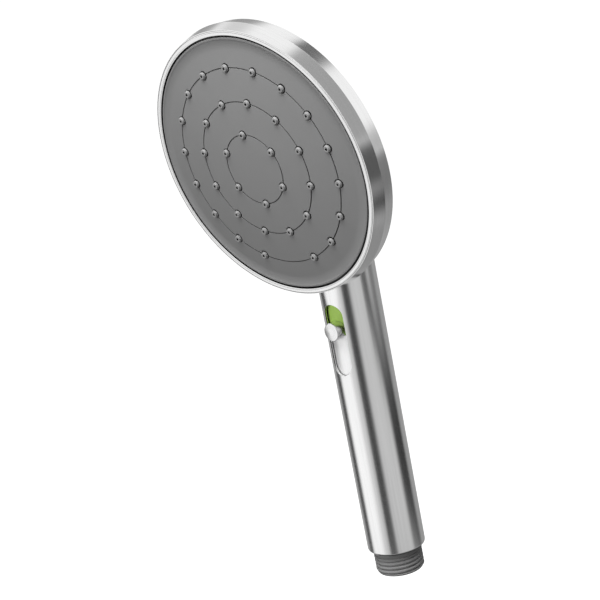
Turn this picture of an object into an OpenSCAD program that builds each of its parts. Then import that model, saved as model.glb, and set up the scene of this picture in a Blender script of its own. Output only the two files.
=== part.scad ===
// Handheld shower head: round spray head on a straight tube handle, with a
// flow slider in the handle and a G1/2 hose thread at its lower end.
//
// Frame: the origin is the centre of the handle's lower end face.
// +Z runs up the handle, -Y is the side that the spray leaves, +X is sideways.
// The head's own frame sits at the centre of the rim, with +Z along the spray
// and +Y pointing away from the handle.

/* [Handle] */
// Outside diameter of the handle tube
handle_d = 25; // [24:0.5:30]
// Wall of the handle tube
handle_wall = 1.2; // [1:0.1:1.6]
// Length of the handle from its lower end to the edge of the head
grip_len = 126; // [120:1:160]
// Bevel on the lower edge of the handle
handle_bevel = 1.1; // [0.4:0.1:1.4]
// How far the tube runs on above the water way into the head
tube_top_reach = 13; // [11:0.5:18]
// Thickness of the cap that closes the upper end of the tube
end_cap_t = 2; // [1.5:0.1:3]

/* [Hose inlet] */
// Outside diameter of the G1/2 thread
thread_d = 20.955; // [20.955:0.001:20.955]
// Length of the threaded stub below the handle
thread_len = 10.5; // [9:0.5:13]
// Bevel at the end of the thread
thread_bevel = 0.8; // [0.4:0.1:1.2]
// Diameter of the recess for the filter and the regulator
inlet_d = 14.4; // [13.6:0.1:15]
// Diameter of the water way above the regulator
waterway_d = 10; // [8:0.1:10.4]

/* [Slider] */
// Width of the slot in the handle
slot_w = 10; // [9:0.1:11]
// Length of the slot
slot_len = 30.9; // [27:0.1:33]
// Distance from the edge of the head down to the slot
slot_drop = 13.5; // [12:0.5:20]
// Diameter of the knob
knob_d = 7.9; // [7:0.1:8.4]
// How far the knob stands out of the handle
knob_reach = 2.8; // [2:0.1:4]
// Bevel round the end of the knob
knob_bevel = 0.6; // [0.3:0.1:1]
// How far the knob is below its upper stop
slider_down = 6.9; // [0:0.1:15]
// Thickness of the shutter plate
shutter_t = 0.35; // [0.3:0.05:0.6]
// Thickness of the green strip
strip_t = 0.6; // [0.4:0.1:1]
// Diameter of the spool
spool_d = 9.88; // [9:0.02:10.2]

/* [Head] */
// Diameter of the rim round the spray face
rim_d = 112.6; // [108:0.2:124]
// How far the ridge of the side wall stands out from the rim
ridge_out = 1.1; // [0.4:0.1:2]
// Depth of the ridge behind the rim
ridge_depth = 5.8; // [4:0.1:7]
// Depth of the side wall
side_depth = 11.9; // [11:0.1:15]
// Angle between the handle and the plane of the rim
head_tilt = 10; // [8:0.5:12]
// Gap between the back edge of the head and the front line of the handle
tuck_gap = 1.25; // [0.8:0.05:2]
// Rise of the conical back
back_slope = 24; // [20:1:28]
// Radius within which the back is rounded off
back_round = 20; // [14:1:26]
// Wall of the steel housing
shell_wall = 1.2; // [1:0.1:1.4]
// Distance of the water way below the centre of the head
spigot_drop = 24; // [22:1:28]

/* [Spray face] */
// Width of the bright ring round the spray face
bezel_w = 2.3; // [1.8:0.1:3]
// Thickness of the bright ring
bezel_t = 2; // [1.6:0.1:2.4]
// Rise of the domed face above the rim
dome_rise = 3.7; // [3:0.1:4.2]
// Depth of the dome's edge below the rim
dome_drop = 0.4; // [0.2:0.1:0.8]
// Width of the cove round the dome
cove_w = 3.9; // [3.4:0.1:4.6]
// Slope of the cove where it meets the bead
cove_slope = 12; // [8:1:18]
// Width of the bead round the edge of the spray plate
bead_w = 1; // [0.7:0.1:1.3]
// Height of the bead above the cove
bead_h = 0.15; // [0.05:0.05:0.3]
// Gap between the spray plate and the bright ring
face_gap = 0.7; // [0.4:0.05:0.9]
// Thickness of the spray plate
plate_t = 1.8; // [1.5:0.1:2.2]
// Radius of the first ring of nozzles
ring_r = 14.7; // [12:0.1:16]
// Distance between the rings of nozzles
ring_pitch = 13.35; // [11:0.05:13.5]
// Diameter of a nozzle where it leaves the plate
nozzle_d = 3; // [2.6:0.1:3.4]
// Diameter of a nozzle at its tip
nozzle_tip_d = 2; // [1.6:0.1:2.2]
// Diameter of the jet hole
jet_d = 0.9; // [0.6:0.1:1.2]
// How far the nozzles stand out of the plate
nozzle_reach = 1; // [0.6:0.1:2]
// Gap round a nozzle in its hole
nozzle_gap = 0.2; // [0.1:0.05:0.3]
// Width and depth of the fine grooves that join the nozzles
groove = 0.4; // [0.2:0.1:0.6]

/* [Clearances] */
// Clearance between pieces that move on each other
run_gap = 0.15; // [0.1:0.01:0.2]
// Radial clearance of the spool in its bore
spool_gap = 0.06; // [0.04:0.01:0.08]
// Clearance between pieces that are fitted into each other
seat_gap = 0.1; // [0.05:0.01:0.15]
// Clearance between the knob and the ends of the slot
stop_gap = 0.35; // [0.2:0.05:0.5]

/* [Hidden] */
$fn = 96;

// a small overshoot for cuts
cut = 1;

// head: radii and depths in the head's own frame
rim_r = rim_d / 2;
ridge_r = rim_r + ridge_out;
handle_r = handle_d / 2;
tube_bore_r = handle_r - handle_wall;
lower_bevel = min(handle_bevel, handle_wall - 0.1);
axis_depth = side_depth + tuck_gap + handle_r / cos(head_tilt);
head_y = -(rim_r * sin(head_tilt) + axis_depth * cos(head_tilt));
head_z = grip_len + rim_r * cos(head_tilt) - axis_depth * sin(head_tilt);

// back of the head: a cone whose tip is rounded by an arc
back_arc_r = back_round / sin(back_slope);
cone_rise = (rim_r - back_round) * tan(back_slope);
back_arc_z = -side_depth - cone_rise + back_arc_r * cos(back_slope);

// seat of the ring, the plate and the chamber in the housing
lip_t = 0.3;
lip_edge = 0.15;
seat_w = 1.3;
bezel_in_r = rim_r - bezel_w;
bezel_out_r = rim_r - lip_t - seat_gap;
shell_in_r = rim_r - seat_w;
insert_r = shell_in_r - seat_gap;
flange_top_z = -bezel_t - seat_gap;
flange_t = 2;
flange_z = flange_top_z - flange_t;

// dome of the spray plate, part of a ball, and the cove and bead round it
plate_edge_r = bezel_in_r - face_gap;
bead_in_r = plate_edge_r - bead_w;
dome_r = bead_in_r - cove_w;
dome_sag = dome_rise + dome_drop;
dome_ball_r = (dome_r * dome_r + dome_sag * dome_sag) / (2 * dome_sag);
dome_ball_z = dome_rise - dome_ball_r;
dome_edge_slope = asin(dome_r / dome_ball_r);
cove_arc_r = cove_w / (sin(dome_edge_slope) + sin(cove_slope));
bead_z = cove_z(-cove_slope);
ring_counts = [6, 12, 18];
ring_turns = [0, 0.5, 0];

// mat, gasket and cover behind the plate
mat_inset = 5.2;
mat_t = 1.5;
mat_r = insert_r - mat_inset;
mat_edge_z = dome_at(mat_r, plate_t + seat_gap) - mat_t;
mat_room = 0.4;
gasket_d = 1.6;
gasket_inset = 1;
gasket_r = mat_r - gasket_inset;
gasket_z = mat_edge_z - seat_gap - gasket_d / 2;
cover_t = 2;
cover_wall = 2.2;
cover_top_z = gasket_z - gasket_d / 2;
cover_z = cover_top_z - cover_t;
cover_rim_z = -side_depth + 1;

// chamber screws
screw_count = 6;
screw_r = 1;
screw_gap = 0.15;
screw_head_r = 1.9;
screw_head_t = 1.3;
screw_boss_r = screw_head_r + 0.9;
screw_inset = 2.9;
screw_grip = 1.9;
screw_ring_r = insert_r - screw_inset;
screw_seat_z = cover_rim_z + screw_head_t + seat_gap;
screw_tip_z = flange_z + screw_grip;

// water way from the handle into the head
spigot_r = 6;
spigot_bore_r = 4.2;
spigot_reach = 1.5;
spigot_ring_d = 1.6;
spigot_axis_z = -axis_depth - (rim_r - spigot_drop) * tan(head_tilt);
spigot_end_z = spigot_axis_z + spigot_reach;
spigot_hole_r = spigot_r + 1;
spigot_ring_places = [spigot_end_z + 2, spigot_end_z + 5];
way_z = grip_len + (rim_r - spigot_drop) / cos(head_tilt);
tube_top_z = way_z + tube_top_reach;

// pieces that fill the tube; a sealed joint has a little play round it
core_r = tube_bore_r - seat_gap;
joint_r = 7.4;
joint_len = 9;
joint_play = 0.06;
joint_end_gap = 0.2;
joint_rest = 0.6;
joint_ring_d = 1.5;
inlet_seat_z = 3;
connector_top_z = 19.8;
connector_ring_places = [connector_top_z + 2.8, connector_top_z + 6];
thread_r = thread_d / 2;
inlet_r = inlet_d / 2;
waterway_r = waterway_d / 2;
insert_gap = 0.1;
lock_z = 10;
lock_h = 1.2;
lock_depth = 0.5;
lock_reach = 0.7;
regulator_h = 5.2;
regulator_ring_d = 1.4;
regulator_ring_z = inlet_seat_z - 2.2;
filter_t = 1;
filter_top_z = inlet_seat_z - 2 * insert_gap - regulator_h;

// slot and slider
slot_top_z = grip_len - slot_drop;
slot_bottom_z = slot_top_z - slot_len;
knob_r = knob_d / 2;
knob_z = slot_top_z - stop_gap - knob_r - slider_down;
knob_pin_r = 1.5;
rivet_r = 0.7;
rivet_play = 0.02;
travel = slot_len - knob_d - 2 * stop_gap;
travel_up = slider_down;
travel_down = travel - slider_down;
shutter_lap = 1.8;
shutter_r = tube_bore_r - run_gap;
shutter_half_w = slot_w / 2 + shutter_lap;
shutter_neck_r = knob_r - 0.05;
shutter_shoulder_z = knob_z - 0.6 * knob_r;
shutter_bottom_z = slot_bottom_z - travel_up - 1;
strip_lap = 1.2;
strip_r = shutter_r - shutter_t - run_gap;
strip_half_w = slot_w / 2 + strip_lap;
strip_top_z = slot_top_z + 1.5;
strip_bottom_z = shutter_shoulder_z - travel_down - 0.7;
track_top_z = slot_top_z + 1.2;
track_bottom_z = shutter_bottom_z - travel_down - 0.6;

// arm between the shutter and the spool
arm_h = 4.8;
arm_half_w = 2.3;
arm_room = 0.5;
arm_z = shutter_bottom_z + arm_h / 2 + 0.6;
arm_slot_bottom_z = arm_z - arm_h / 2 - travel_down - arm_room;
arm_slot_top_z = arm_z + arm_h / 2 + travel_up + arm_room;

// spool and its bore in the valve body
spool_r = spool_d / 2;
bore_r = spool_r + spool_gap;
spool_wall = 2.1;
spool_hole_r = spool_r - spool_wall;
spool_neck_r = spool_r - 0.95;
spool_ring_d = 1.2;
spool_land = 2;
body_bottom_z = connector_top_z + joint_end_gap;
bore_bottom_z = body_bottom_z + joint_len + joint_rest;
spool_bottom_z = bore_bottom_z + travel_down + 1;
low_ring_z = spool_bottom_z + spool_land;
high_ring_z = arm_slot_top_z + travel_down + spool_land;
spool_ring_places = [low_ring_z, high_ring_z];
chamber_z = high_ring_z + travel_up + 4.5;
port_z = chamber_z + 2.5;
spool_top_z = port_z + 3;
chamber_top_z = spool_top_z + travel_up + 2;
chamber_r = spool_r + 1.6;
body_top_z = chamber_top_z + joint_len + joint_rest;
elbow_ring_places = [chamber_top_z + 3, chamber_top_z + 6.4];

// radius of the dome surface at a depth below it
function dome_at(r, depth) =
    dome_ball_z + sqrt(pow(dome_ball_r - depth, 2) - r * r);

// height of the cove where its slope, downwards and outwards, is a
function cove_z(a) = -dome_drop + cove_arc_r * (cos(dome_edge_slope) - cos(a));

// points along the cove from the dome's edge to the bead
function cove_line(steps = 6) = [
    for (i = [1:steps])
        let (a = dome_edge_slope - (dome_edge_slope + cove_slope) * i / steps)
        [dome_r + cove_arc_r * (sin(dome_edge_slope) - sin(a)), cove_z(a)]
];

// points along the dome surface at a depth below it, outwards
function dome_line(r_end, depth, steps = 10) = [
    for (i = [0:steps]) [r_end * i / steps, dome_at(r_end * i / steps, depth)]
];

// points along the back of the head from its edge to its centre, a shift
// outwards of the steel's outer face
function back_line(shift, steps = 8) = [
    for (i = [0:steps])
        let (a = back_slope * (1 - i / steps))
        [(back_arc_r + shift) * sin(a), back_arc_z - (back_arc_r + shift) * cos(a)]
];

// reversed copy of a list
function turned(list) = [for (i = [len(list) - 1:-1:0]) list[i]];

// place in the head's own frame
module in_head() {
    translate([0, head_y, head_z])
        rotate([90 + head_tilt, 0, 0])
            children();
}

// place at the knob, with +Z along the line that points out of the handle
module at_knob() {
    translate([0, 0, knob_z])
        rotate([90, 0, 0])
            children();
}

// ring of round section, for the seals
module o_ring(ring_r, section_d) {
    rotate_extrude()
        translate([ring_r, 0])
            circle(d = section_d, $fn = 32);
}

// groove for a seal in a cylinder, down to the seal's inner side
module seal_groove(outer_r, section_d) {
    side_room = 0.3;
    play = 0.02;
    difference() {
        cylinder(r = outer_r + cut, h = section_d + side_room, center = true);
        cylinder(r = outer_r - section_d - play, h = section_d + cut, center = true);
    }
}

// curved strip of a tube wall on the spray side of the handle
module front_strip(outer_r, inner_r, half_w, bottom_z, top_z) {
    intersection() {
        translate([0, 0, bottom_z])
            difference() {
                cylinder(r = outer_r, h = top_z - bottom_z);
                translate([0, 0, -cut])
                    cylinder(r = inner_r, h = top_z - bottom_z + 2 * cut);
            }
        translate([-half_w, -outer_r - cut, bottom_z - cut])
            cube([2 * half_w, outer_r + cut, top_z - bottom_z + 2 * cut]);
    }
}

// slot with round ends, cut through the front of a tube
module slot_cut(half_w, bottom_z, top_z, depth) {
    for (z = [bottom_z + half_w, top_z - half_w])
        translate([0, 0, z])
            rotate([90, 0, 0])
                cylinder(r = half_w, h = depth);
    translate([-half_w, -depth, bottom_z + half_w])
        cube([2 * half_w, depth, top_z - bottom_z - 2 * half_w]);
}

// space that the closed head takes, a gap larger than the steel
module head_space(gap) {
    in_head()
        rotate_extrude()
            polygon(concat(
                [[0, cut], [rim_r + gap, cut], [ridge_r + gap, -ridge_depth],
                 [rim_r + gap, -side_depth - gap * tan(back_slope / 2)]],
                back_line(gap)
            ));
}

// side wall and conical back of the head, one pressed and turned steel shell
module head_shell() {
    seat_floor = 0.9;
    color("silver")
        in_head()
            difference() {
                rotate_extrude()
                    polygon(concat(
                        [[rim_r - lip_t, -lip_edge], [rim_r - lip_edge, -lip_edge],
                         [rim_r, -2 * lip_edge],
                         [ridge_r, -ridge_depth], [rim_r, -side_depth]],
                        back_line(0),
                        turned(back_line(-shell_wall)),
                        [[shell_in_r, -side_depth + seat_floor], [shell_in_r, -bezel_t - seat_gap / 2],
                         [rim_r - lip_t, -bezel_t - seat_gap / 2]]
                    ));
                translate([0, -spigot_drop, -side_depth - cone_rise - back_round])
                    cylinder(r = spigot_hole_r, h = cone_rise + back_round + side_depth - cut);
            }
}

// bright ring round the spray face, with rounded edges and a shallow dip
module bezel_ring() {
    edge = 0.3;
    dip = 0.12;
    color("gainsboro")
        in_head()
            rotate_extrude()
                polygon([
                    [bezel_in_r, -bezel_t], [bezel_out_r, -bezel_t],
                    [bezel_out_r, -edge], [bezel_out_r - edge, 0],
                    [bezel_out_r - 2 * edge, -dip], [bezel_in_r + 2 * edge, -dip],
                    [bezel_in_r + edge, 0], [bezel_in_r, -edge]
                ]);
}

// angle of a nozzle on its ring
function nozzle_angle(ring, i) = -90 + (i + ring_turns[ring]) * 360 / ring_counts[ring];

// children at every nozzle; the outer ring has none above the handle
module at_nozzles() {
    for (ring = [0:len(ring_counts) - 1])
        for (i = [(ring == len(ring_counts) - 1 ? 1 : 0):ring_counts[ring] - 1])
            rotate([0, 0, nozzle_angle(ring, i)])
                translate([ring_r + ring * ring_pitch, 0, 0]) {
                    $nozzle_r = ring_r + ring * ring_pitch;
                    children();
                }
}

// domed plate with a cove, a bead and a flange, drilled for the nozzles
module spray_plate() {
    bead_edge = 0.25;
    color("gray")
        in_head()
            difference() {
                rotate_extrude()
                    polygon(concat(
                        dome_line(dome_r, 0), cove_line(),
                        [[bead_in_r + bead_edge, bead_z + bead_h],
                         [plate_edge_r - bead_edge, bead_z + bead_h],
                         [plate_edge_r, bead_z + bead_h - bead_edge],
                         [plate_edge_r, flange_top_z], [insert_r, flange_top_z],
                         [insert_r, flange_z], [mat_r + mat_room, flange_z]],
                        turned(dome_line(mat_r + mat_room / 2, plate_t))
                    ));
                at_nozzles()
                    translate([0, 0, -dome_drop - plate_t - 3 * cut])
                        cylinder(d = nozzle_d + 2 * nozzle_gap,
                                 h = dome_sag + plate_t + 6 * cut, $fn = 32);
                for (ring = [0:len(ring_counts) - 1])
                    fine_groove(ring_r + ring * ring_pitch);
                at_screws()
                    translate([0, 0, flange_z - cut])
                        cylinder(r = screw_r, h = screw_grip + cut + 2 * seat_gap, $fn = 32);
            }
}

// fine round groove in the face of the spray plate
module fine_groove(r) {
    translate([0, 0, dome_at(r, 0) - groove / 2])
        difference() {
            cylinder(r = r + groove / 2, h = groove + cut);
            translate([0, 0, -cut])
                cylinder(r = r - groove / 2, h = groove + 3 * cut);
        }
}

// soft mat with the nozzles that come through the plate
module nozzle_mat() {
    tip_edge = 0.15;
    color("darkgray")
        in_head()
            difference() {
                union() {
                    rotate_extrude()
                        polygon(concat(
                            dome_line(mat_r, plate_t + seat_gap),
                            turned(dome_line(mat_r, plate_t + seat_gap + mat_t))
                        ));
                    at_nozzles() {
                        face_z = dome_at($nozzle_r, 0);
                        base_z = face_z - plate_t - seat_gap - mat_t / 2;
                        tip_z = face_z + nozzle_reach;
                        rotate_extrude($fn = 32)
                            polygon([
                                [0, base_z], [nozzle_d / 2, base_z],
                                [nozzle_d / 2, face_z], [nozzle_tip_d / 2, tip_z - tip_edge],
                                [nozzle_tip_d / 2 - tip_edge, tip_z], [0, tip_z]
                            ]);
                    }
                }
                at_nozzles()
                    translate([0, 0, -dome_drop - plate_t - mat_t - 3 * cut])
                        cylinder(d = jet_d, h = dome_sag + plate_t + mat_t + nozzle_reach + 6 * cut,
                                 $fn = 24);
            }
}

// ring seal between the mat and the chamber cover
module chamber_gasket() {
    color("dimgray")
        in_head()
            translate([0, 0, gasket_z])
                o_ring(gasket_r, gasket_d);
}

// children at the chamber screws
module at_screws() {
    for (i = [0:screw_count - 1])
        rotate([0, 0, 360 * (i + 0.5) / screw_count])
            translate([screw_ring_r, 0, 0])
                children();
}

// rear half of the spray chamber: disc, rim, ribs and the spigot
module chamber_cover() {
    rib_count = 8;
    rib_t = 1.6;
    rib_h = 3;
    groove_half = gasket_d / 2 + seat_gap;
    color("lightslategray")
        in_head()
            difference() {
                union() {
                    rotate_extrude()
                        polygon([
                            [0, cover_top_z], [gasket_r - groove_half, cover_top_z],
                            [gasket_r + groove_half, cover_top_z],
                            [gasket_r + groove_half, mat_edge_z - seat_gap],
                            [mat_r + seat_gap, mat_edge_z - seat_gap],
                            [mat_r + seat_gap, flange_z - seat_gap],
                            [insert_r, flange_z - seat_gap], [insert_r, cover_rim_z],
                            [insert_r - cover_wall, cover_rim_z],
                            [insert_r - cover_wall, cover_z], [0, cover_z]
                        ]);
                    at_screws()
                        translate([0, 0, screw_seat_z])
                            cylinder(r = screw_boss_r, h = cover_z - screw_seat_z + cut);
                    for (i = [0:rib_count - 1])
                        rotate([0, 0, 360 * (i + 0.5) / rib_count])
                            translate([back_round / 2, -rib_t / 2, cover_z - rib_h])
                                cube([insert_r - cover_wall + 2 * seat_gap - back_round / 2, rib_t,
                                      rib_h + cut / 2]);
                    translate([0, -spigot_drop, spigot_end_z])
                        cylinder(r = spigot_r, h = cover_z - spigot_end_z + cut / 2);
                }
                translate([0, -spigot_drop, spigot_end_z - cut])
                    cylinder(r = spigot_bore_r, h = cover_top_z - spigot_end_z + 2 * cut);
                at_screws() {
                    translate([0, 0, cover_rim_z - cut])
                        cylinder(r = screw_r + screw_gap, h = flange_z - cover_rim_z + 2 * cut,
                                 $fn = 32);
                    translate([0, 0, cover_rim_z - cut])
                        cylinder(r = screw_head_r + 2 * screw_gap,
                                 h = screw_seat_z - cover_rim_z + cut, $fn = 32);
                }
                for (z = spigot_ring_places)
                    translate([0, -spigot_drop, z])
                        seal_groove(spigot_r, spigot_ring_d);
            }
}

// screws that clamp the chamber together
module chamber_screws() {
    hex_r = 0.9;
    hex_depth = 0.8;
    color("darkslategray")
        in_head()
            at_screws()
                difference() {
                    union() {
                        translate([0, 0, screw_seat_z - screw_head_t])
                            cylinder(r = screw_head_r, h = screw_head_t, $fn = 32);
                        translate([0, 0, screw_seat_z - seat_gap])
                            cylinder(r = screw_r - seat_gap / 2,
                                     h = screw_tip_z - screw_seat_z + seat_gap, $fn = 32);
                    }
                    translate([0, 0, screw_seat_z - screw_head_t - cut])
                        cylinder(r = hex_r, h = cut + hex_depth, $fn = 6);
                }
}

// seals on the spigot of the chamber cover
module spigot_o_rings() {
    color("dimgray")
        in_head()
            for (z = spigot_ring_places)
                translate([0, -spigot_drop, z])
                    o_ring(spigot_r - spigot_ring_d / 2, spigot_ring_d);
}

// elbow that turns the water from the handle into the head
module neck_elbow() {
    elbow_bore_r = 4.5;
    socket_r = spigot_r + joint_play;
    foot_z = body_top_z + joint_end_gap;
    head_room_z = tube_top_z - end_cap_t - joint_end_gap;
    color("lightslategray")
        difference() {
            union() {
                translate([0, 0, foot_z])
                    cylinder(r = core_r, h = head_room_z - foot_z);
                translate([0, 0, chamber_top_z + joint_rest])
                    cylinder(r = joint_r, h = joint_len + cut);
            }
            translate([0, 0, chamber_top_z])
                cylinder(r = elbow_bore_r, h = way_z + elbow_bore_r - chamber_top_z);
            in_head()
                translate([0, -spigot_drop, spigot_axis_z - spigot_r / 2])
                    cylinder(r = socket_r, h = handle_d);
            head_space(seat_gap);
            for (z = elbow_ring_places)
                translate([0, 0, z])
                    seal_groove(joint_r, joint_ring_d);
        }
}

// seals between the elbow and the valve body
module elbow_o_rings() {
    color("dimgray")
        for (z = elbow_ring_places)
            translate([0, 0, z])
                o_ring(joint_r - joint_ring_d / 2, joint_ring_d);
}

// straight steel tube with the slider's slot; its upper end is cut to the
// back of the head and welded to it
module handle_tube() {
    color("silver")
        difference() {
            rotate_extrude()
                polygon([
                    [tube_bore_r, 0], [handle_r - lower_bevel, 0],
                    [handle_r - 0.3 * lower_bevel, 0.3 * lower_bevel],
                    [handle_r, lower_bevel], [handle_r, tube_top_z],
                    [tube_bore_r, tube_top_z]
                ]);
            slot_cut(slot_w / 2, slot_bottom_z, slot_top_z, handle_d);
            head_space(seat_gap);
            translate([0, 0, lock_z])
                cylinder(r = tube_bore_r + lock_depth, h = lock_h + 2 * insert_gap, center = true);
        }
}

// cap that closes the upper end of the tube
module tube_end_cap() {
    edge = 0.8;
    color("silver")
        difference() {
            translate([0, 0, tube_top_z])
                rotate_extrude()
                    polygon([
                        [0, -end_cap_t], [core_r, -end_cap_t], [core_r, seat_gap / 2],
                        [handle_r, seat_gap / 2],
                        [handle_r, end_cap_t - edge], [handle_r - 0.3 * edge, end_cap_t - 0.3 * edge],
                        [handle_r - edge, end_cap_t], [0, end_cap_t]
                    ]);
            head_space(seat_gap);
        }
}

// moulded core of the handle: bore of the spool, track of the shutter
module valve_body() {
    socket_r = joint_r + joint_play;
    color("lightslategray")
        difference() {
            translate([0, 0, body_bottom_z])
                cylinder(r = core_r, h = body_top_z - body_bottom_z);
            translate([0, 0, body_bottom_z - cut])
                cylinder(r = socket_r, h = joint_len + cut);
            translate([0, 0, body_bottom_z])
                cylinder(r = bore_r, h = chamber_z - body_bottom_z + cut);
            translate([0, 0, chamber_z])
                cylinder(r = chamber_r, h = chamber_top_z - chamber_z + cut);
            translate([0, 0, chamber_top_z])
                cylinder(r = socket_r, h = joint_len + cut);
            head_space(seat_gap);
            front_strip(core_r + cut, shutter_r - shutter_t - run_gap,
                        shutter_half_w + run_gap, track_bottom_z, track_top_z);
            front_strip(core_r + cut, strip_r - strip_t - seat_gap / 2,
                        strip_half_w + seat_gap / 2, strip_bottom_z - seat_gap / 2,
                        strip_top_z + seat_gap / 2);
            translate([-arm_half_w - run_gap, -core_r - cut, arm_slot_bottom_z])
                cube([2 * (arm_half_w + run_gap), core_r + cut, arm_slot_top_z - arm_slot_bottom_z]);
        }
}

// green strip that shows in the slot above the knob
module indicator_strip() {
    color("yellowgreen")
        difference() {
            front_strip(strip_r, strip_r - strip_t, strip_half_w, strip_bottom_z, strip_top_z);
            translate([-arm_half_w - run_gap, -handle_r, strip_bottom_z - cut])
                cube([2 * (arm_half_w + run_gap), handle_r, arm_slot_top_z - strip_bottom_z + cut]);
        }
}

// curved steel plate that closes the slot below the knob
module shutter_plate() {
    color("gainsboro")
        difference() {
            intersection() {
                front_strip(shutter_r, shutter_r - shutter_t, shutter_half_w,
                            shutter_bottom_z, knob_z + shutter_neck_r + cut);
                union() {
                    translate([-shutter_half_w, -handle_r, shutter_bottom_z])
                        cube([2 * shutter_half_w, handle_r, shutter_shoulder_z - shutter_bottom_z]);
                    at_knob()
                        cylinder(r = shutter_neck_r, h = handle_r);
                }
            }
            at_knob()
                cylinder(r = knob_pin_r + rivet_play, h = handle_r, $fn = 32);
            at_rivets()
                cylinder(r = rivet_r + rivet_play, h = handle_r, $fn = 32);
        }
}

// polished knob with a pin that is riveted into the shutter plate
module slider_knob() {
    knob_end = handle_r + knob_reach;
    color("white")
        at_knob() {
            difference() {
                rotate_extrude()
                    polygon([
                        [0, strip_r + run_gap], [knob_r, strip_r + run_gap - cut],
                        [knob_r, knob_end - knob_bevel],
                        [knob_r - 0.3 * knob_bevel, knob_end - 0.3 * knob_bevel],
                        [knob_r - knob_bevel, knob_end], [0, knob_end]
                    ]);
                rotate([-90, 0, 0])
                    cylinder(r = shutter_r + rivet_play / 2, h = 3 * knob_d, center = true);
            }
            intersection() {
                cylinder(r = knob_pin_r, h = shutter_r + cut / 2, $fn = 32);
                rotate([-90, 0, 0])
                    difference() {
                        cylinder(r = handle_r, h = 3 * knob_d, center = true);
                        cylinder(r = shutter_r - shutter_t, h = 4 * knob_d, center = true);
                    }
            }
        }
}

// children at the two rivets of the carriage, with +Z out of the handle
module at_rivets() {
    for (side = [-1, 1])
        translate([0, 0, arm_z + side * arm_h / 4])
            rotate([90, 0, 0])
                children();
}

// arm that ties the shutter plate to the spool through the valve body
module slider_carriage() {
    color("slategray")
        difference() {
            intersection() {
                translate([-arm_half_w, -handle_r, arm_z - arm_h / 2])
                    cube([2 * arm_half_w, handle_r, arm_h]);
                cylinder(r = shutter_r - shutter_t - rivet_play, h = 2 * grip_len);
            }
            translate([0, 0, arm_z])
                cylinder(r = spool_neck_r + seat_gap / 2, h = 2 * arm_h, center = true);
            at_rivets()
                translate([0, 0, spool_r + cut])
                    cylinder(r = rivet_r + rivet_play, h = handle_r, $fn = 32);
        }
}

// rivets through the shutter plate into the carriage
module carriage_rivets() {
    color("gainsboro")
        intersection() {
            at_rivets()
                translate([0, 0, spool_r + cut + insert_gap])
                    cylinder(r = rivet_r, h = shutter_r, $fn = 32);
            cylinder(r = shutter_r, h = 2 * grip_len);
        }
}

// hollow spool: full flow through its ports, low flow through its end hole
module valve_spool() {
    port_r = 1.2;
    low_flow_r = 0.8;
    spool_end_t = 1.4;
    color("whitesmoke")
        difference() {
            translate([0, 0, spool_bottom_z])
                cylinder(r = spool_r, h = spool_top_z - spool_bottom_z);
            translate([0, 0, spool_bottom_z - cut])
                cylinder(r = spool_hole_r, h = spool_top_z - spool_end_t - spool_bottom_z + cut);
            cylinder(r = low_flow_r, h = 2 * grip_len, $fn = 32);
            for (turn = [0, 90])
                translate([0, 0, port_z])
                    rotate([90, 0, turn])
                        cylinder(r = port_r, h = 3 * spool_r, center = true, $fn = 32);
            translate([0, 0, arm_z])
                difference() {
                    cylinder(r = spool_r + cut, h = arm_h + seat_gap, center = true);
                    cylinder(r = spool_neck_r, h = arm_h + cut, center = true);
                }
            for (z = spool_ring_places)
                translate([0, 0, z])
                    seal_groove(spool_r, spool_ring_d);
        }
}

// seals of the spool
module spool_o_rings() {
    color("dimgray")
        for (z = spool_ring_places)
            translate([0, 0, z])
                o_ring(spool_r - spool_ring_d / 2, spool_ring_d);
}

// moulded inlet with the hose thread's outside cylinder
module inlet_connector() {
    color("dimgray")
        difference() {
            rotate_extrude()
                polygon([
                    [0, -thread_len], [thread_r - thread_bevel, -thread_len],
                    [thread_r, -thread_len + thread_bevel], [thread_r, 0], [core_r, 0],
                    [core_r, connector_top_z], [joint_r, connector_top_z],
                    [joint_r, connector_top_z + joint_len - joint_end_gap],
                    [0, connector_top_z + joint_len - joint_end_gap]
                ]);
            translate([0, 0, -thread_len - cut])
                cylinder(r = inlet_r, h = thread_len + inlet_seat_z + cut);
            translate([0, 0, -thread_len])
                cylinder(r = waterway_r, h = 2 * grip_len);
            translate([0, 0, lock_z])
                difference() {
                    cylinder(r = handle_r, h = lock_h + 2 * insert_gap, center = true);
                    cylinder(r = core_r - lock_reach - insert_gap, h = lock_h + cut, center = true);
                }
            for (z = connector_ring_places)
                translate([0, 0, z])
                    seal_groove(joint_r, joint_ring_d);
        }
}

// seals between the inlet and the valve body
module connector_o_rings() {
    color("dimgray")
        for (z = connector_ring_places)
            translate([0, 0, z])
                o_ring(joint_r - joint_ring_d / 2, joint_ring_d);
}

// open snap ring that locks the inlet in the tube
module lock_ring() {
    opening_w = 4;
    color("darkgray")
        translate([0, 0, lock_z])
            difference() {
                cylinder(r = tube_bore_r + lock_depth - insert_gap, h = lock_h, center = true);
                cylinder(r = core_r - lock_reach, h = lock_h + cut, center = true);
                translate([-opening_w / 2, 0, -lock_h])
                    cube([opening_w, handle_r, 2 * lock_h]);
            }
}

// regulator that limits the flow: body with a ring of openings round a core
module flow_regulator() {
    regulator_r = inlet_r - seat_gap;
    opening_count = 8;
    opening_r = 1;
    color("royalblue")
        difference() {
            translate([0, 0, inlet_seat_z - insert_gap - regulator_h])
                cylinder(r = regulator_r, h = regulator_h);
            for (i = [0:opening_count - 1])
                rotate([0, 0, 360 * (i + 0.5) / opening_count])
                    translate([waterway_r - 1.4 * opening_r, 0, -thread_len])
                        cylinder(r = opening_r, h = 2 * thread_len, $fn = 24);
            translate([0, 0, regulator_ring_z])
                seal_groove(regulator_r, regulator_ring_d);
        }
}

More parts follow.
